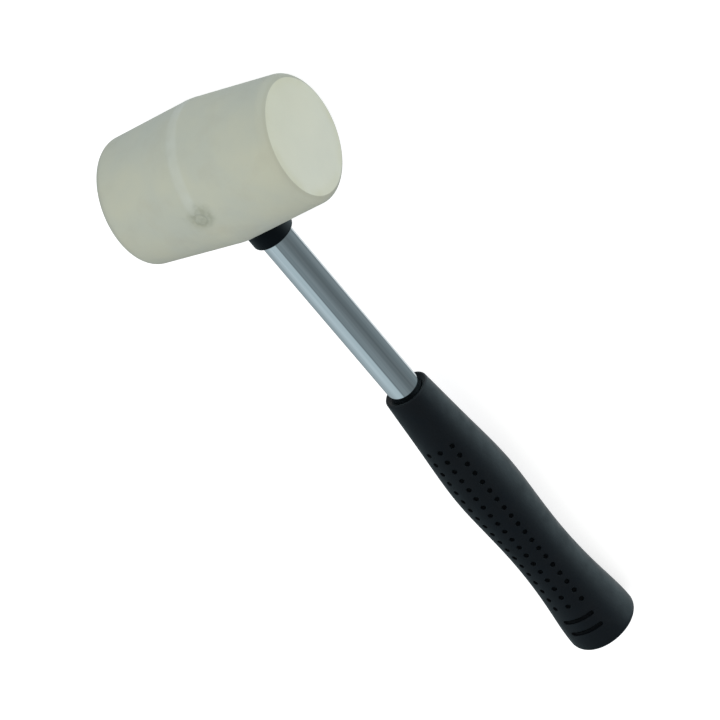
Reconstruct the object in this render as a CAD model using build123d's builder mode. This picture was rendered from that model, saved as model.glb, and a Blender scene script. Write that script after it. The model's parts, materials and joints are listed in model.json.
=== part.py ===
"""White rubber mallet with a chromed tubular steel shaft and a moulded black rubber grip.

The mallet lies at rest: one cone of its barrel head and the grip's butt touch the ground, z = 0.
The shaft runs along X with the head at +X, and the origin is the middle of the footprint.
In the tool's own frame, x runs from the head's centre down the shaft, y along the head and z
square to both, so a place on the shaft is given as its distance from the head's centre.
"""

import os
from math import asin, atan, atan2, cos, hypot, sin, sqrt, tan

from build123d import *

# ---------------------------------------------------------------- driving dimensions, mm
# Head: two blunt cones, base to base, with a softened ridge between them.
head_length = 95.0
belly_diameter = 68.0
face_diameter = 60.0
rim_round = 4.0
ridge_round = 30.0
eye_depth_past_centre = 21.0

# Collar: closed sleeve between the rubber and the tube.
collar_diameter = 21.0
collar_end = 42.0
collar_floor = 3.0
collar_round = 1.2

# Shaft tube.
tube_diameter = 16.0
tube_wall = 1.2

# Hardwood core in the tube's top, and the pin that crosses it.
core_length = 46.0
core_chamfer = 1.5
pin_diameter = 4.0
pin_length = 61.0
pin_chamfer = 0.6
pin_mark_diameter = 7.0
pin_mark_depth = 0.7

# Grip: places on its outline, as distance down the shaft and radius.
mouth = (146.5, 11.3)
shoulder = (180.0, 13.85)
swell = (211.0, 15.85)
back_slope = (234.0, 15.05)
waist = (256.0, 14.3)
flare = (290.0, 16.05)
butt_radius = 17.75
grip_end = 316.0
mouth_round = 0.8
butt_round = 4.5
grip_floor = 10.0

# Plug in the tube's lower end.
end_plug_rim = 1.5
end_plug_length = 14.0
end_plug_chamfer = 1.0

# Dimples and cross grooves on each broad side of the grip, turned a little with the grip.
field_turn = 7.0
dimple_rows = 19
dimple_pitch = 6.0
dimple_first = 177.4
dimple_diameter = 2.4
dimple_depth = 0.7
column_step = 28.0
groove_places = (294.5, 302.0)
groove_width = 2.0
groove_depth = 0.9
groove_sweep = 60.0

# ---------------------------------------------------------------- worked-out dimensions
belly_radius = belly_diameter / 2
face_radius = face_diameter / 2
collar_radius = collar_diameter / 2
tube_radius = tube_diameter / 2
bore_radius = tube_radius - tube_wall
pin_radius = pin_diameter / 2
cone_angle = atan((belly_radius - face_radius) / (head_length / 2))
ridge_radius = belly_radius - ridge_round * (1 / cos(cone_angle) - 1)
tube_top = collar_floor - eye_depth_past_centre
grip_bore_end = grip_end - grip_floor
tube_bottom = grip_bore_end - end_plug_rim
butt_start = (grip_end - butt_round, butt_radius)
butt_centre = (grip_end - butt_round, butt_radius - butt_round)

# ---------------------------------------------------------------- how the mallet lies
# One cone lies on the ground along its whole side, so the head tips by the cone's angle. The
# shaft slopes down until the rounded edge of the butt touches as well.
head_height = belly_radius * cos(cone_angle)
shaft_slope = asin((head_height - butt_round) / hypot(*butt_centre)) - atan2(butt_centre[1], butt_centre[0])

down_shaft = Vector(-cos(shaft_slope), 0, -sin(shaft_slope))
sideways = sin(cone_angle) * tan(shaft_slope)
to_face = Vector(sideways, -sqrt(1 - sideways**2 - sin(cone_angle) ** 2), -sin(cone_angle))

# The footprint's middle is midway between the ridge's foremost point and the butt's rearmost one.
front_reach = ridge_radius * sqrt(1 - sideways**2)
back_reach = butt_centre[0] * cos(shaft_slope) + butt_centre[1] * sin(shaft_slope) + butt_round
head_centre = Vector((back_reach - front_reach) / 2, 0, head_height)

tool = Plane(origin=head_centre, x_dir=down_shaft, z_dir=down_shaft.cross(to_face))
shaft_axis = Axis(tool.origin, tool.x_dir)
head_axis = Axis(tool.origin, tool.y_dir)


def across_shaft(distance):
    """Plane square to the shaft, facing down it, at a distance from the head's centre."""
    centre = tool.from_local_coords(Vector(distance, 0, 0))
    return Plane(origin=centre, x_dir=tool.y_dir, z_dir=tool.x_dir)


def turned_tool(angle):
    """The tool's plane turned about the shaft, so that its z points out of the grip at an angle
    from the middle of the broad side towards the striking face."""
    return Plane(tool.location * Rotation(-angle, 0, 0))


# ---------------------------------------------------------------- white rubber head
with BuildPart() as head:
    with BuildSketch(tool) as head_half:
        with BuildLine():
            Polyline(
                (0, -head_length / 2),
                (face_radius, -head_length / 2),
                (belly_radius, 0),
                (face_radius, head_length / 2),
                (0, head_length / 2),
                close=True,
            )
        make_face()
        fillet(head_half.vertices().group_by(Axis.X)[1], radius=rim_round)
        fillet(head_half.vertices().sort_by(Axis.X)[-1], radius=ridge_round)
    revolve(axis=head_axis)

    # Blind eye for the collar, open downwards.
    with BuildSketch(across_shaft(-eye_depth_past_centre)):
        Circle(collar_radius)
    extrude(amount=eye_depth_past_centre + belly_diameter, mode=Mode.SUBTRACT)

    # The pin's hole, and the shallow mark where the rubber has closed over each of its ends.
    with Locations(tool):
        Hole(pin_radius, depth=pin_length / 2)
    with Locations(tool.offset(ridge_radius), tool.offset(-ridge_radius)):
        Hole(pin_mark_diameter / 2, depth=pin_mark_depth)
head.part.label = "head"

# ---------------------------------------------------------------- collar, a closed black sleeve
with BuildPart() as collar:
    with BuildSketch(across_shaft(-eye_depth_past_centre)):
        Circle(collar_radius)
    extrude(amount=eye_depth_past_centre + collar_end)
    lower_edge = collar.edges().sort_by(shaft_axis)[-1]
    fillet(lower_edge, radius=collar_round)
    with BuildSketch(across_shaft(tube_top)):
        Circle(tube_radius)
    extrude(amount=collar_end - tube_top, mode=Mode.SUBTRACT)
    with Locations(tool):
        Hole(pin_radius, depth=pin_length / 2)
collar.part.label = "collar"

# ---------------------------------------------------------------- chromed steel shaft tube
with BuildPart() as shaft_tube:
    with BuildSketch(across_shaft(tube_top)):
        Circle(tube_radius)
        Circle(bore_radius, mode=Mode.SUBTRACT)
    extrude(amount=tube_bottom - tube_top)
    with Locations(tool):
        Hole(pin_radius, depth=pin_length / 2)
shaft_tube.part.label = "shaft_tube"

# ---------------------------------------------------------------- hardwood core in the tube's top
with BuildPart() as shaft_core:
    with BuildSketch(across_shaft(tube_top)):
        Circle(bore_radius)
    extrude(amount=core_length)
    core_tip = shaft_core.edges().sort_by(shaft_axis)[-1]
    chamfer(core_tip, length=core_chamfer)
    with Locations(tool):
        Hole(pin_radius, depth=pin_length / 2)
shaft_core.part.label = "shaft_core"

# ---------------------------------------------------------------- steel pin across the head
with BuildPart() as cross_pin:
    with BuildSketch(tool.offset(-pin_length / 2)):
        Circle(pin_radius)
    extrude(amount=pin_length)
    chamfer(cross_pin.edges().filter_by(GeomType.CIRCLE), length=pin_chamfer)
cross_pin.part.label = "cross_pin"

# ---------------------------------------------------------------- black rubber grip
with BuildLine() as grip_outline:
    Spline(mouth, shoulder, swell, back_slope, waist, flare, butt_start, tangents=[(1, 0.08), (1, 0)])


def grip_radius(distance):
    """Radius of the grip's outline at a distance down the shaft."""
    square_line = Axis((distance, 0, 0), (0, 1, 0))
    return grip_outline.edge().find_intersection_points(square_line)[0].Y


with BuildPart() as grip:
    with BuildSketch(tool) as grip_half:
        with BuildLine():
            add(grip_outline.edge())
            RadiusArc(butt_start, (grip_end, butt_centre[1]), butt_round)
            Polyline((grip_end, butt_centre[1]), (grip_end, 0), (mouth[0], 0), mouth)
        make_face()
        mouth_corner = grip_half.vertices().group_by(Axis.X)[0].sort_by(Axis.Y)[-1]
        fillet(mouth_corner, radius=mouth_round)
    revolve(axis=shaft_axis)
    with BuildSketch(across_shaft(mouth[0])):
        Circle(tube_radius)
    extrude(amount=grip_bore_end - mouth[0], mode=Mode.SUBTRACT)

    # Dimple field: rows down the grip, three columns on each broad side.
    dimple_places = []
    for side in (0, 180):
        for column in (-1, 0, 1):
            outwards = turned_tool(side + field_turn + column * column_step)
            for row in range(dimple_rows):
                distance = dimple_first + row * dimple_pitch
                centre = outwards.from_local_coords(Vector(distance, 0, grip_radius(distance)))
                dimple_places.append(Plane(origin=centre, x_dir=outwards.x_dir, z_dir=outwards.z_dir))
    with Locations(*dimple_places):
        Hole(dimple_diameter / 2, depth=dimple_depth)

    # Cross grooves near the butt: the sketch stands on a plane through the shaft's axis.
    for side in (0, 180):
        groove_start = side + field_turn + groove_sweep / 2
        with BuildSketch(turned_tool(groove_start - 90)) as groove_profile:
            for distance in groove_places:
                with Locations((distance, grip_radius(distance))):
                    Rectangle(groove_width, 2 * groove_depth)
        revolve(axis=shaft_axis, revolution_arc=groove_sweep, mode=Mode.SUBTRACT)
grip.part.label = "grip"

# ---------------------------------------------------------------- plug in the tube's lower end
with BuildPart() as tube_end_plug:
    with BuildSketch(across_shaft(tube_bottom)):
        Circle(tube_radius)
    extrude(amount=end_plug_rim)
    with BuildSketch(across_shaft(tube_bottom)):
        Circle(bore_radius)
    extrude(amount=end_plug_rim - end_plug_length)
    plug_tip = tube_end_plug.edges().sort_by(shaft_axis)[0]
    chamfer(plug_tip, length=end_plug_chamfer)
tube_end_plug.part.label = "tube_end_plug"

# ---------------------------------------------------------------- one STEP file for each piece
os.makedirs("parts", exist_ok=True)
for piece in (head, collar, shaft_tube, shaft_core, cross_pin, grip, tube_end_plug):
    export_step(piece.part, f"parts/{piece.part.label}.step")
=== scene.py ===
"""Looks of the white rubber mallet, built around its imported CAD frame. Lengths are in metres.

The tool's own frame is read from the mounts: x runs down the shaft from the head's centre, y along
the head towards its front face and z out of the flat of the T. Every outline is a list of
(along, radius) points, along the head for the head and along the shaft for the other pieces.
"""

import json
from math import atan, atan2, cos, hypot, pi, radians, sin, sqrt

import bmesh
import bpy
import numpy as np
from mathutils import Matrix, Vector


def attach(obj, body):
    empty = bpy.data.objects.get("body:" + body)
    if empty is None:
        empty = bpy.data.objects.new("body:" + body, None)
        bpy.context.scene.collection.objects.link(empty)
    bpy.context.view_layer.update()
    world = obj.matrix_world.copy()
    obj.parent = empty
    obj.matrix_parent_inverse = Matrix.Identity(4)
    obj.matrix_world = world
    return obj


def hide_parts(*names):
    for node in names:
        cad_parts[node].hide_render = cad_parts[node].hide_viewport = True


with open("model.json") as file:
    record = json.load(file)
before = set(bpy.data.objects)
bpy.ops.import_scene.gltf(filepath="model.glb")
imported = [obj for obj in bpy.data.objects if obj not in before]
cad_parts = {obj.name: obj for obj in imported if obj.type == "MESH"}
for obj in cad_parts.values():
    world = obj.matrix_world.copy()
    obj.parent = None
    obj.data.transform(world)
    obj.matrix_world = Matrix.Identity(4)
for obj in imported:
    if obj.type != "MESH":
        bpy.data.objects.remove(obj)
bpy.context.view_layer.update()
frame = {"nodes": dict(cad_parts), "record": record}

# ------------------------------------------------------------------ the tool's own frame
mounts = {mount["name"]: mount for mount in frame["record"]["mounts"]}
front_face = Vector(mounts["strike_face_front"]["pos_m"])
back_face = Vector(mounts["strike_face_back"]["pos_m"])
head_centre = (front_face + back_face) / 2
along_head = (front_face - back_face).normalized()
down_shaft = -Vector(mounts["shaft_hold"]["axis"]).normalized()
out_of_flat = down_shaft.cross(along_head)
tool = Matrix((down_shaft, along_head, out_of_flat)).transposed().to_4x4()
tool.translation = head_centre


def extent(node, axis):
    """Lowest and highest place of a CAD node along one axis of the tool's frame."""
    to_tool = tool.inverted()
    places = [(to_tool @ vertex.co)[axis] for vertex in frame["nodes"][node].data.vertices]
    return min(places), max(places)


# ------------------------------------------------------------------ sizes
# a visual surface that would lie in its CAD face is drawn this much further in
inset = 0.0001
half_head = (front_face - back_face).length / 2 - inset
cone_length = 0.0475
cone_fall = 0.004
cone_angle = atan(cone_fall / cone_length)
# radius at which the two cones would meet if the ridge were sharp
cone_base = 0.03378
ridge_softness = 0.0022
band_half_width = 0.0026
band_shoulder = 0.0005
band_rise = 0.00008
# how far from the eye and the pin marks the band starts to rise, and where it is whole
band_return = (0.0040, 0.0060)
flat_radius = 0.0270
crease_round = 0.0009
crease_turn = radians(26)
mark_radius = 0.0035
head_columns = 256
head_spacing = 0.0009
# half sizes, in rows and columns, of the windows cut for the eye and the pin marks
eye_window = (16, 17)
mark_window = (9, 8)

collar_radius = 0.0105
collar_round = 0.0012
collar_end = extent("collar", 0)[1]
eye_floor = extent("collar", 0)[0]
tube_top, tube_bottom = extent("shaft_tube", 0)
tube_radius = mounts["shaft_hold"]["dims"]["r_mm"] / 1000
tube_wall = 0.0012
deburr = 0.0002
fit_gap = 0.00005
lip = 0.0004
eye_margin = 0.0006
collar_columns = 128
collar_spacing = 0.002
tube_columns = 192
tube_spacing = 0.004

grip_start, grip_end = extent("grip", 0)
grip_bore_end = extent("tube_end_plug", 0)[1]
mouth_radius = 0.0113
mouth_round = 0.0008
mouth_slope = 0.08
funnel_depth = 0.0012
butt_radius = 0.01775
butt_round = 0.0045
grip_knots = (
    (grip_start, mouth_radius),
    (0.180, 0.01385),
    (0.211, 0.01585),
    (0.234, 0.01505),
    (0.256, 0.0143),
    (0.290, 0.01605),
    (grip_end - butt_round, butt_radius),
)
field_turn = radians(7)
column_step = radians(28)
dimple_rows = 19
dimple_pitch = 0.006
dimple_first = 0.1774
dimple_radius = 0.00135
dimple_depth = 0.00115
groove_places = (0.2945, 0.302)
groove_half_sweep = radians(30)
groove_radius = 0.00125
groove_depth = 0.0012
grip_columns = 180
grip_spacing = 0.0008
field_spacing = 0.0005
# how far the finer rows reach past the first and last hollow
field_margin = 0.0020
# half size of a dimple's window, in rows and in columns
field_reach = 4


# ------------------------------------------------------------------ mesh helpers
def round_head(along, radius, angle):
    """Point of a surface of revolution about the head's axis; angle 0 faces down the shaft."""
    return (radius * cos(angle), along, radius * sin(angle))


def round_shaft(along, radius, angle):
    """Point of a surface of revolution about the shaft; angle 0 faces out of the flat of the T."""
    return (along, radius * sin(angle), radius * cos(angle))


def arc(centre, radius, start, end, steps):
    """Outline points on an arc. The angle is counted from straight outwards towards +along."""
    turns = np.linspace(start, end, steps + 1)
    return [(centre[0] + radius * sin(t), centre[1] + radius * cos(t)) for t in turns]


def spaced(start, end, spacing):
    """Evenly spaced numbers from start to end, both included."""
    return list(np.linspace(start, end, max(1, round(abs(end - start) / spacing)) + 1))


class Skin:
    """Closed surface of revolution with round or long hollows let into it.

    place turns (along, radius, angle) into a point. relief(along, radius, angle) is an extra radius.
    lined is the range of outline rows that take the second material, as the hollows do.
    """

    blend_shares = (0.35, 0.7)
    weld_distance = 1e-7

    def __init__(self, place, outline, columns, first_angle=0.0, relief=None, lined=()):
        self.place = place
        self.outline = outline
        self.columns = columns
        self.step = 2 * pi / columns
        self.vertices = []
        for along, radius in outline:
            for column in range(columns):
                angle = first_angle + column * self.step
                rise = relief(along, radius, angle) if relief else 0.0
                self.vertices.append(place(along, radius + rise, angle))
        self.cells = {(row, column) for row in range(len(outline) - 1) for column in range(columns)}
        self.lined = lined
        self.deep = []
        self.shallow = []

    def index(self, row, column):
        return row * self.columns + column % self.columns

    def row_at(self, along):
        """Row of the outline that lies nearest to a place, on its outer side."""

        def distance(row):
            row_along, row_radius = self.outline[row]
            return round(abs(row_along - along), 6), -row_radius

        return min(range(len(self.outline)), key=distance)

    def hollow(self, row, column, reach, flatten, sink, rings, core=0.0):
        """Replaces the cells around a grid point with rings, which follow a circle or a stadium.

        reach is the window's half size in rows and columns. flatten(along, radius, turn) gives a
        rim point's (along, across) distances from the middle, and sink(along, across, depth) turns
        them back into a (along, radius, angle) place. rings are (radius, depth) pairs from the rim
        inwards, and core is half the length of the stadium's straight part.
        """
        rows, columns = reach
        loop = [(row - rows, column + c) for c in range(-columns, columns)]
        loop += [(row + r, column + columns) for r in range(-rows, rows)]
        loop += [(row + rows, column - c) for c in range(-columns, columns)]
        loop += [(row - r, column - columns) for r in range(-rows, rows)]
        for r in range(row - rows, row + rows):
            for c in range(column - columns, column + columns):
                self.cells.discard((r, c % self.columns))
        rim = [flatten(*self.outline[r], (c - column) * self.step) for r, c in loop]
        spines = [max(-core, min(core, across)) for _, across in rim]
        sizes = [hypot(along, across - spine) for (along, across), spine in zip(rim, spines)]

        # two level rings lead from the window's square edge to the first of the given rings
        first_radius, deepest = rings[0][0], rings[-1][1]
        loops = []
        for share in self.blend_shares:
            loops.append(([size + (first_radius - size) * share for size in sizes], 0.0))
        loops += [([radius] * len(loop), depth) for radius, depth in rings]
        previous = [self.index(r, c) for r, c in loop]
        shallow = []
        for radii, depth in loops:
            current = []
            for (along, across), spine, size, radius in zip(rim, spines, sizes, radii):
                scale = radius / size
                current.append(len(self.vertices))
                place = sink(along * scale, spine + (across - spine) * scale, depth)
                self.vertices.append(self.place(*place))
            group = shallow if depth < deepest / 3 else self.deep
            for i in range(len(loop)):
                j = (i + 1) % len(loop)
                group.append((previous[i], previous[j], current[j], current[i]))
            previous = current
        self.deep.append(tuple(previous))
        self.shallow += shallow

    def build(self, name, materials, node):
        """Makes the piece that stands for a CAD node. A second material lines the hollows."""
        lining, plain = list(self.deep), []
        for row, column in sorted(self.cells):
            corners = ((row, column), (row, column + 1), (row + 1, column + 1), (row + 1, column))
            group = lining if row in self.lined else plain
            group.append(tuple(self.index(*corner) for corner in corners))
        faces = lining + plain + self.shallow
        mesh = bpy.data.meshes.new(name)
        mesh.from_pydata([tool @ Vector(vertex) for vertex in self.vertices], [], faces)
        if len(materials) > 1:
            mesh.polygons.foreach_set("material_index", [int(i < len(lining)) for i in range(len(faces))])
        work = bmesh.new()
        work.from_mesh(mesh)
        bmesh.ops.remove_doubles(work, verts=work.verts, dist=self.weld_distance)
        bmesh.ops.recalc_face_normals(work, faces=work.faces)
        work.to_mesh(mesh)
        work.free()
        mesh.polygons.foreach_set("use_smooth", [True] * len(mesh.polygons))
        for material in materials:
            mesh.materials.append(material)
        piece = bpy.data.objects.new(name, mesh)
        bpy.context.scene.collection.objects.link(piece)
        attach(piece, "root")
        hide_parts(node)
        return piece


def smooth_step(value, low, high):
    share = min(1.0, max(0.0, (value - low) / (high - low)))
    return share * share * (3 - 2 * share)


def spline(knots, first_slope, last_slope):
    """Smooth curve of radius along the shaft through the knots, as a function."""
    places, radii = np.array(knots).T
    spans = np.diff(places)
    rises = np.diff(radii)
    count = len(places)
    matrix = np.eye(count)
    target = np.zeros(count)
    target[0], target[-1] = first_slope, last_slope
    for i in range(1, count - 1):
        before, after = 1 / spans[i - 1], 1 / spans[i]
        matrix[i, i - 1 : i + 2] = before, 2 * (before + after), after
        target[i] = 3 * (rises[i - 1] * before**2 + rises[i] * after**2)
    slopes = np.linalg.solve(matrix, target)

    def radius_at(place):
        i = int(np.clip(np.searchsorted(places, place) - 1, 0, count - 2))
        t = (place - places[i]) / spans[i]
        start = (1 + 2 * t) * (1 - t) ** 2 * radii[i] + t * (1 - t) ** 2 * spans[i] * slopes[i]
        end = t * t * (3 - 2 * t) * radii[i + 1] + t * t * (t - 1) * spans[i] * slopes[i + 1]
        return float(start + end)

    return radius_at


# ------------------------------------------------------------------ head
def cone_radius(along):
    """Radius of the two cones, with the ridge between them softened."""
    return cone_base - sqrt(along**2 + ridge_softness**2) * sin(cone_angle) / cos(cone_angle)


def band(along, radius, angle):
    """Low moulded band round the ridge, which dies away beside the eye and the pin marks."""
    if abs(along) > band_half_width + band_shoulder:
        return 0.0
    edge = 1 - smooth_step(abs(along), band_half_width - band_shoulder, band_half_width + band_shoulder)
    clear = 1.0
    for middle, size in ((0, collar_radius), (pi / 2, mark_radius), (-pi / 2, mark_radius)):
        turn = (angle - middle + pi) % (2 * pi) - pi
        clear *= smooth_step(abs(turn) * radius - size, *band_return)
    return edge * clear * band_rise


def head_outline():
    """Outline of the head, from the middle of its back face to the middle of its front face."""
    crease = arc((half_head - crease_round, flat_radius), crease_round, pi / 2, pi / 2 - crease_turn, 4)
    crease_along, crease_out = crease[-1]
    crease_angle = pi / 2 - crease_turn
    # the shoulder's arc is tangent to the crease's end and to the cone
    room = (cone_base - crease_out) * cos(cone_angle) - crease_along * sin(cone_angle)
    shoulder_round = room / (1 - cos(crease_angle - cone_angle))
    centre_along = crease_along - shoulder_round * sin(crease_angle)
    centre_out = crease_out - shoulder_round * cos(crease_angle)
    shoulder = arc((centre_along, centre_out), shoulder_round, cone_angle, crease_angle, 16)
    # half the outline, with closer rows on the soft ridge and the band's shoulder
    ridge = [0.0, 0.0007, 0.0014, band_half_width - band_shoulder, band_half_width - band_shoulder / 2]
    rows = ridge + spaced(band_half_width, shoulder[0][0], head_spacing)[:-1]
    half = [(along, cone_radius(along)) for along in rows] + shoulder + crease[-2::-1]
    half += [(half_head, flat_radius * share) for share in (0.985, 0.95, 0.85, 0.7, 0.5, 0.25, 0.0)]
    return [(-along, radius) for along, radius in half[:0:-1]] + half


def make_head(*materials):
    outline = head_outline()
    skin = Skin(round_head, outline, head_columns, relief=band)
    middle = len(outline) // 2

    def flatten(along, radius, turn):
        return along, radius * sin(turn)

    def sink_towards(middle_angle):
        def sink(along, across, depth):
            out = sqrt(cone_radius(along) ** 2 - across**2) - depth
            return along, hypot(out, across), middle_angle + atan2(across, out)

        return sink

    # the eye: a rounded lip, a straight wall and a flat floor, all hidden by the collar but the lip
    eye_rings = [(collar_radius + lip + eye_margin, 0.0)]
    lip_turns = np.linspace(0, pi / 2, 5)
    eye_rings += [(collar_radius + lip * (1 - sin(t)), lip * (1 - cos(t))) for t in lip_turns]
    floor_depth = cone_radius(0) - eye_floor
    eye_rings += [(collar_radius, floor_depth * share) for share in (0.1, 0.4, 0.7, 1.0)]
    eye_rings += [(collar_radius * share, floor_depth) for share in (0.7, 0.35)]
    skin.hollow(middle, 0, eye_window, flatten, sink_towards(0), eye_rings)

    # a pin mark: a soft round groove about a slightly sunk middle
    mark_rings = [
        (mark_radius * size, depth)
        for size, depth in (
            (1.25, 0.0),
            (1.12, 0.00002),
            (1.04, 0.00007),
            (0.96, 0.00018),
            (0.88, 0.00028),
            (0.80, 0.00030),
            (0.72, 0.00024),
            (0.63, 0.00015),
            (0.50, 0.00012),
            (0.30, 0.00013),
            (0.15, 0.00015),
        )
    ]
    quarter = skin.columns // 4
    for column in (quarter, 3 * quarter):
        skin.hollow(middle, column, mark_window, flatten, sink_towards(column * skin.step), mark_rings)
    return skin.build("head_rubber_barrel", materials, "head")


# ------------------------------------------------------------------ collar and tube
def make_collar(*materials):
    outer = collar_radius - fit_gap
    bore = tube_radius + fit_gap
    outline = [(eye_floor + fit_gap, 0.0), (eye_floor + fit_gap, outer - lip)]
    outline += arc((eye_floor + fit_gap + lip, outer - lip), lip, -pi / 2, 0, 4)
    side = spaced(eye_floor + 2 * lip, collar_end - collar_round, collar_spacing)[1:-1]
    outline += [(along, outer) for along in side]
    outline += arc((collar_end - collar_round, outer - collar_round), collar_round, 0, pi / 2, 8)
    outline += [(collar_end, bore + 1.5 * lip), (collar_end, bore + lip)]
    outline += [(collar_end - lip, bore), (collar_end - 3 * lip, bore), (tube_top - fit_gap, bore)]
    outline += [(tube_top - fit_gap, 0.0)]
    skin = Skin(round_shaft, outline, collar_columns)
    return skin.build("collar_sleeve", materials, "collar")


def make_tube(*materials):
    bore = tube_radius - tube_wall
    outline = [(tube_top, bore + deburr), (tube_top, tube_radius - deburr)]
    outline += [(tube_top + deburr, tube_radius)]
    outline += [(along, tube_radius) for along in spaced(tube_top, tube_bottom, tube_spacing)[1:-1]]
    outline += [(tube_bottom - deburr, tube_radius), (tube_bottom, tube_radius - deburr)]
    outline += [(tube_bottom, bore + deburr), (tube_bottom - deburr, bore)]
    outline += [(tube_top + deburr, bore), (tube_top, bore + deburr)]
    skin = Skin(round_shaft, outline, tube_columns)
    return skin.build("chromed_tube", materials, "shaft_tube")


# ------------------------------------------------------------------ grip
def make_grip(*materials):
    grip_radius = spline(grip_knots, mouth_slope, 0.0)
    bore = tube_radius + fit_gap
    butt_start = grip_end - butt_round
    field_start = dimple_first - field_margin
    field_end = dimple_first + (dimple_rows - 1) * dimple_pitch + field_margin
    grooves_start = groove_places[0] - field_margin
    grooves_end = groove_places[-1] + field_margin
    rows = spaced(grip_start + mouth_round, field_start, grip_spacing)[:-1]
    rows += spaced(field_start, field_end, field_spacing)[:-1]
    rows += spaced(field_end, grooves_start, field_spacing)[:-1]
    rows += spaced(grooves_start, grooves_end, field_spacing)[:-1]
    rows += spaced(grooves_end, butt_start, grip_spacing)

    outline = [(grip_end, (butt_radius - butt_round) * share) for share in (0.0, 0.3, 0.6, 0.85, 0.96)]
    outline += arc((butt_start, butt_radius - butt_round), butt_round, pi / 2, 0, 14)
    outline += [(along, grip_radius(along)) for along in rows[-2::-1]]
    mouth_edge = grip_radius(grip_start + mouth_round) - mouth_round
    outline += arc((grip_start + mouth_round, mouth_edge), mouth_round, 0, -pi / 2, 6)[1:]
    funnel_row = len(outline) - 1
    # the mouth dips towards the tube: (share of the way in, share of the funnel's depth)
    for inwards, dip in ((0.15, 0.0), (0.30, 0.15), (0.70, 0.75), (0.90, 0.95), (1.0, 1.2)):
        outline.append((grip_start + funnel_depth * dip, inwards * bore + (1 - inwards) * mouth_edge))
    outline += [(grip_start + 2 * funnel_depth, bore)]
    outline += [(grip_bore_end, bore), (grip_bore_end, 0.0)]
    lined = range(funnel_row, len(outline))
    skin = Skin(round_shaft, outline, grip_columns, first_angle=field_turn, lined=lined)

    def let_in(place, column, reach, rings, half_sweep):
        """Sinks a dimple, or a groove that sweeps round the grip, in at a place down the shaft."""
        row = skin.row_at(place)
        middle_radius = skin.outline[row][1]
        middle_angle = field_turn + column * skin.step
        core = max(0.0, half_sweep * middle_radius - groove_radius)

        def flatten(along, radius, turn):
            return along - place, turn * middle_radius

        def sink(along, across, depth):
            spot = place + along
            return spot, grip_radius(spot) - depth, middle_angle + across / middle_radius

        skin.hollow(row, column, (field_reach, reach), flatten, sink, rings, core)

    # (share of the hollow's radius, share of its depth) from the rim to the middle
    bowl = (
        (1.22, 0.0),
        (1.08, 0.01),
        (1.01, 0.05),
        (0.96, 0.15),
        (0.92, 0.5),
        (0.86, 0.85),
        (0.65, 0.97),
        (0.3, 1.0),
    )
    dimple_rings = [(dimple_radius * size, dimple_depth * depth) for size, depth in bowl]
    groove_rings = [(groove_radius * size, groove_depth * depth) for size, depth in bowl]
    column_gap = round(column_step / skin.step)
    half_turn = skin.columns // 2
    for side in (0, half_turn):
        for column in (side - column_gap, side, side + column_gap):
            for number in range(dimple_rows):
                place = dimple_first + number * dimple_pitch
                let_in(place, column, field_reach, dimple_rings, 0.0)
        for place in groove_places:
            reach = round(groove_half_sweep / skin.step) + 1
            let_in(place, side, reach, groove_rings, groove_half_sweep)
    return skin.build("grip_rubber_sleeve", materials, "grip")


# ------------------------------------------------------------------ materials
class Graph:
    """Short way to add shader nodes to a tree and to join them."""

    def __init__(self, tree):
        self.tree = tree

    def add(self, kind, *inputs, out=0, **settings):
        """Adds a node; inputs are (socket, value or output) pairs. Returns one of its outputs."""
        node = self.tree.nodes.new("ShaderNode" + kind)
        for name, value in settings.items():
            setattr(node, name, value)
        for socket, value in inputs:
            if isinstance(value, bpy.types.NodeSocket):
                self.tree.links.new(value, node.inputs[socket])
            else:
                node.inputs[socket].default_value = value
        return node.outputs[out]

    def math(self, operation, *values):
        return self.add("Math", *enumerate(values), operation=operation)

    def times(self, first, second):
        return self.math("MULTIPLY", first, second)

    def length(self, first, second):
        """Distance made of two parts at right angles."""
        return self.math("SQRT", self.math("ADD", self.times(first, first), self.times(second, second)))

    def noise(self, place, scale, detail=2.0, roughness=0.5):
        """Noise between 0 and 1, whose middle is 0.5."""
        pairs = (("Vector", place), ("Scale", scale), ("Detail", detail), ("Roughness", roughness))
        return self.add("TexNoise", *pairs)

    def remap(self, value, low, high, to_low=0.0, to_high=1.0, smooth=False):
        pairs = enumerate((value, low, high, to_low, to_high))
        return self.add("MapRange", *pairs, interpolation_type="SMOOTHSTEP" if smooth else "LINEAR")

    def fade(self, value, nothing, full, share=1.0):
        """Smooth rise from 0, where value is nothing, to share, where value is full."""
        return self.remap(value, nothing, full, 0, share, smooth=True)

    def mix(self, share, first, second):
        """Blends two colours."""
        return self.add("Mix", (0, share), (6, first), (7, second), out=2, data_type="RGBA")

    def bump(self, height, distance, before=None):
        pairs = [("Height", height), ("Distance", distance)]
        if before:
            pairs.append(("Normal", before))
        return self.add("Bump", *pairs)


class Material(Graph):
    """Node material whose patterns are drawn in the tool's own frame."""

    def __init__(self, name, roughness, metallic=0.0, **settings):
        self.material = bpy.data.materials.new(name)
        self.material.use_nodes = True
        super().__init__(self.material.node_tree)
        self.shader = self.tree.nodes["Principled BSDF"]
        self.set(Roughness=roughness, Metallic=metallic, **settings)
        own = self.add("TexCoord", out=3)
        turn, middle = tuple(tool.to_euler()), tuple(tool.translation)
        pairs = (("Vector", own), ("Location", middle), ("Rotation", turn))
        self.place = self.add("Mapping", *pairs, vector_type="TEXTURE")
        split = self.add("SeparateXYZ", ("Vector", self.place)).node
        self.x, self.y, self.z = split.outputs

    def set(self, **values):
        """Sets or joins the shader's own sockets, named with underscores for spaces."""
        for name, value in values.items():
            socket = self.shader.inputs[name.replace("_", " ")]
            if isinstance(value, bpy.types.NodeSocket):
                self.tree.links.new(value, socket)
            else:
                socket.default_value = value

    def stretched(self, along):
        """Coordinates drawn out along the shaft."""
        return self.add("Mapping", ("Vector", self.place), ("Scale", (1 / along, 1, 1)))


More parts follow.
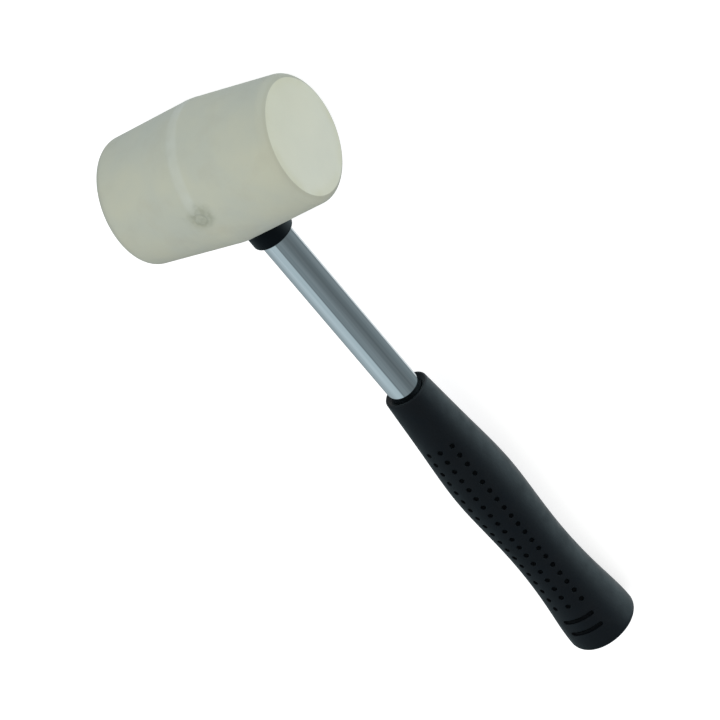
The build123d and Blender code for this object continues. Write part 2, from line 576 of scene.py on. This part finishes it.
def white_rubber():
    """Pale moulded rubber: clean striking faces brightened with painted light, a cloudy body with painted
    shade, a band with a painted highlight, and grime.
    """
    m = Material("white_rubber", 0.5)
    cloud = m.noise(m.place, 38, 3, 0.55)
    stain = m.noise(m.add("Mapping", ("Vector", m.place), ("Location", (0.3, 0.7, 0.1))), 60, 4, 0.6)
    speck = m.noise(m.place, 500, 2)
    from_ridge = m.math("ABSOLUTE", m.y)
    from_axis = m.length(m.x, m.z)
    from_pin = m.length(m.x, m.y)

    # body: cloudy and stained, with painted shade on the side away from the shaft and towards both ends
    body = m.mix(m.remap(cloud, 0.35, 0.65), (0.485, 0.515, 0.435, 1), (0.53, 0.545, 0.43, 1))
    body = m.mix(m.remap(stain, 0.52, 0.75, 0, 0.34), body, (0.43, 0.425, 0.33, 1))
    body = m.mix(m.fade(m.x, -0.012, -0.034, 0.30), body, (0.40, 0.44, 0.39, 1))
    body = m.mix(m.fade(from_ridge, 0.018, 0.047, 0.12), body, (0.40, 0.42, 0.34, 1))
    # painted shade on the shoulders next to the faces
    body = m.mix(m.fade(from_ridge, 0.0420, 0.0470, 0.30), body, (0.40, 0.41, 0.33, 1))

    # band: painted highlight along the ridge, paler in patches and lost towards the shaft
    on_band = m.fade(from_ridge, band_half_width + 0.0010, band_half_width - 0.0010, 0.65)
    band_highlight_share = m.times(m.remap(stain, 0.35, 0.6, 1, 0.35), m.remap(m.x, 0.002, -0.006))
    body = m.mix(m.times(on_band, band_highlight_share), body, (0.55, 0.59, 0.53, 1))

    # pin marks: a grimy patch and a dark ring
    smear = m.math("ADD", from_pin, m.remap(stain, 0.3, 0.7, -0.0030, 0.0030))
    grime = m.times(m.fade(smear, 0.0085, 0.0030), m.remap(speck, 0.3, 0.6, 0.55, 1))
    body = m.mix(m.times(grime, 0.50), body, (0.25, 0.27, 0.19, 1))
    ring = m.times(m.fade(from_pin, 0.0021, 0.0029), m.fade(from_pin, 0.0041, 0.0032))
    body = m.mix(m.times(ring, 0.12), body, (0.18, 0.20, 0.13, 1))

    # faces: paler than the body, partly their own clean rubber and partly painted light; yellowed on the
    # side away from the shaft and round the edge
    face = m.mix(m.remap(cloud, 0.35, 0.65), (0.625, 0.645, 0.54, 1), (0.655, 0.67, 0.555, 1))
    face = m.mix(m.remap(m.x, 0.012, -0.026, 0, 0.45), face, (0.60, 0.61, 0.45, 1))
    edge = m.times(m.fade(from_axis, 0.0215, 0.0272), m.remap(stain, 0.4, 0.65, 0.1, 0.6))
    face = m.mix(edge, face, (0.58, 0.585, 0.42, 1))

    # dirt in the crease round each face
    crease = m.times(m.fade(from_axis, 0.0270, 0.0274), m.fade(from_axis, 0.0292, 0.0276, 0.22))
    crease = m.times(crease, m.remap(from_ridge, 0.0460, 0.0466))
    body = m.mix(crease, body, (0.35, 0.34, 0.24, 1))

    on_face = m.times(m.fade(from_axis, 0.0273, 0.0269), m.remap(from_ridge, 0.0464, 0.0468))
    m.set(Base_Color=m.mix(on_face, body, face))
    m.set(Roughness=m.remap(stain, 0.3, 0.7, 0.44, 0.58))
    m.set(Normal=m.bump(m.noise(m.place, 2600, 2), 0.00004, m.bump(m.noise(m.place, 260, 3), 0.00006)))
    return m.material


def black_rubber(name, dark, pale, gloss):
    """Matt black rubber with a fine pebbled skin, faintly dusty."""
    m = Material(name, 0.5, Specular_IOR_Level=gloss)
    m.set(Sheen_Weight=0.06, Sheen_Roughness=0.3, Sheen_Tint=(0.8, 1, 1, 1))
    m.set(Base_Color=m.mix(m.noise(m.place, 70, 3), dark, pale))
    m.set(Roughness=m.remap(m.noise(m.place, 160, 3), 0.3, 0.7, 0.42, 0.56))
    m.set(Normal=m.bump(m.noise(m.place, 2200, 2), 0.00005, m.bump(m.noise(m.place, 300, 2), 0.00003)))
    return m.material


def moulded_plastic(name, dark, pale, roughness, gloss):
    """Smooth moulded plastic with a barely uneven colour."""
    m = Material(name, roughness, Specular_IOR_Level=gloss)
    m.set(Base_Color=m.mix(m.noise(m.place, 90, 2), dark, pale))
    m.set(Normal=m.bump(m.noise(m.place, 1600, 2), 0.00003))
    return m.material


def chrome_plate():
    """Bright plating on drawn tube, with faint lines along it."""
    m = Material("chrome_plate", 0.0, 1.0)
    lines = m.noise(m.stretched(60), 700, 3)
    m.set(Base_Color=m.mix(m.remap(lines, 0.35, 0.65), (0.60, 0.69, 0.73, 1), (0.72, 0.80, 0.84, 1)))
    m.set(Normal=m.bump(lines, 0.000004))
    return m.material


def brushed_steel():
    """Plain steel with fine lines along the pin."""
    m = Material("brushed_steel", 0.35, 1.0)
    lines = m.noise(m.add("Mapping", ("Vector", m.place), ("Scale", (1, 1, 0.03))), 1500, 2)
    m.set(Base_Color=m.mix(lines, (0.42, 0.43, 0.44, 1), (0.62, 0.62, 0.62, 1)))
    m.set(Normal=m.bump(lines, 0.00002))
    return m.material


def turned_wood():
    """Pale beech with grain along the shaft."""
    m = Material("turned_wood", 0.6)
    wave = (("Vector", m.stretched(12)), ("Scale", 180), ("Distortion", 3.0), ("Detail", 2))
    rings = m.add("TexWave", *wave, out=1)
    m.set(Base_Color=m.mix(rings, (0.36, 0.22, 0.11, 1), (0.58, 0.41, 0.24, 1)))
    m.set(Normal=m.bump(rings, 0.00004))
    return m.material


def dress(node, material):
    """Gives a carried-over CAD node its material."""
    mesh = frame["nodes"][node].data
    mesh.materials.clear()
    mesh.materials.append(material)


# each black or grey is blended between a dark and a pale linear colour
collar_black = (0.0008, 0.0035, 0.0060, 1), (0.0020, 0.0050, 0.0080, 1)
grip_black = (0.0022, 0.0058, 0.0100, 1), (0.0045, 0.0085, 0.0135, 1)
# the hollows' darker black is painted shade in the grip's dimples, grooves and mouth
hollow_shade_black = (0.0008, 0.0020, 0.0040, 1), (0.0018, 0.0036, 0.0060, 1)
plug_grey = (0.035, 0.037, 0.04, 1), (0.05, 0.052, 0.055, 1)

make_head(white_rubber())
make_collar(moulded_plastic("black_plastic", *collar_black, roughness=0.38, gloss=0.24))
make_tube(chrome_plate())
make_grip(
    black_rubber("black_rubber", *grip_black, gloss=0.4),
    # darker rubber with painted shade for the hollows and the mouth
    black_rubber("black_rubber_hollow_shade", *hollow_shade_black, gloss=0.2),
)
dress("shaft_core", turned_wood())
dress("cross_pin", brushed_steel())
dress("tube_end_plug", moulded_plastic("grey_plastic", *plug_grey, roughness=0.45, gloss=0.4))

# ------------------------------------------------------------------ camera
camera_aim = tool @ Vector((0.12272, -0.00943, -0.00040))
camera_direction = tool.to_3x3() @ Vector((-0.48971, 0.53675, 0.68709))
picture_up = tool.to_3x3() @ Vector((-0.66331, 0.28210, -0.69314))
camera_distance = 2.0262
camera_lens = 222.7

camera_data = bpy.data.cameras.new("camera")
camera_data.lens = camera_lens
camera_data.sensor_width = 36
camera = bpy.data.objects.new("camera", camera_data)
backwards = camera_direction.normalized()
rightwards = picture_up.cross(backwards).normalized()
upwards = backwards.cross(rightwards)
camera.matrix_world = Matrix((rightwards, upwards, backwards)).transposed().to_4x4()
camera.location = camera_aim + camera_distance * backwards
bpy.context.scene.collection.objects.link(camera)
bpy.context.scene.camera = camera

# ------------------------------------------------------------------ floor and light
floor_reach = 4.0
floor_mesh = bpy.data.meshes.new("floor")
floor_corners = [(x * floor_reach, y * floor_reach, 0) for x, y in ((-1, -1), (1, -1), (1, 1), (-1, 1))]
floor_mesh.from_pydata(floor_corners, [], [(0, 1, 2, 3)])
floor = bpy.data.objects.new("floor", floor_mesh)
bpy.context.scene.collection.objects.link(floor)

floor_paint = Material("floor_paint", 0.9, Base_Color=(0.55, 0.55, 0.55, 1))
floor_paint.set(Specular_IOR_Level=0.0, Emission_Color=(1, 1, 1, 1), Emission_Strength=0.74)
floor_mesh.materials.append(floor_paint.material)
# the floor shows in the picture, but throws no light or shade on the mallet
floor.visible_diffuse = False
floor.visible_glossy = False
floor.visible_shadow = False

world = bpy.data.worlds.new("studio")
bpy.context.scene.world = world
world.use_nodes = True
sky = Graph(world.node_tree)
direction = sky.add("TexCoord", out=0)
ray = sky.add("LightPath").node

# what the matt surfaces are lit by: cool all round, warmer and brighter from the camera's side
warm_side = Vector((0.40, -0.60, 0.69)).normalized()
facing = sky.add("VectorMath", (0, direction), (1, warm_side), out=1, operation="DOT_PRODUCT")
soft_light = sky.mix(sky.remap(facing, -1, 1), (0.35, 0.40, 0.56, 1), (1.11, 1.11, 1.06, 1))

# what reflections see: greys by how far a direction leans round the shaft's axis
split = sky.add("SeparateXYZ", ("Vector", direction)).node
lean = sky.remap(sky.math("ARCTAN2", split.outputs["Y"], split.outputs["Z"]), -pi, pi)
blue = 1.04


def grey_ramp(red, stops):
    """Greys by the way a direction leans, from straight down over the front and round.

    The stops are (place, grey) pairs, and red is a grey's red against its green.
    """
    ramp = sky.add("ValToRGB", (0, lean))
    elements = ramp.node.color_ramp.elements
    elements.remove(elements[0])
    for place, grey in stops:
        elements.new(place).color = (grey * red, grey, grey * blue, 1)
    elements.remove(elements[-1])
    return ramp


# the plated tube mirrors a bright tent behind, its edge overhead, and a dim front
mirrored = grey_ramp(
    0.89,
    (
        (0.00, 0.26),
        (0.09, 0.265),
        (0.14, 0.24),
        (0.19, 0.205),
        (0.25, 0.160),
        (0.32, 0.195),
        (0.41, 0.28),
        (0.470, 0.29),
        (0.492, 0.22),
        (0.505, 0.60),
        (0.62, 0.62),
        (0.70, 0.47),
        (0.74, 0.46),
        (0.85, 0.30),
        (1.00, 0.24),
    ),
)
# soft gloss sees one broad light, low in front, which fades out beyond the butt
glossed = grey_ramp(
    0.80,
    (
        (0.00, 0.68),
        (0.09, 1.31),
        (0.18, 1.15),
        (0.25, 0.20),
        (0.35, 0.02),
        (0.50, 0.06),
        (0.70, 0.30),
        (0.85, 0.30),
        (1.00, 0.60),
    ),
)
beyond_butt = sky.fade(split.outputs["X"], -0.45, -0.80, 0.95)
glossed = sky.mix(beyond_butt, glossed, (0.02, 0.03, 0.03, 1))

# the camera itself sees plain white
light = sky.mix(ray.outputs["Is Glossy Ray"], soft_light, glossed)
light = sky.mix(ray.outputs["Is Singular Ray"], light, mirrored)
light = sky.mix(ray.outputs["Is Camera Ray"], light, (1, 1, 1, 1))
sky.tree.links.new(light, sky.tree.nodes["Background"].inputs["Color"])

bpy.context.scene.view_settings.view_transform = "Standard"
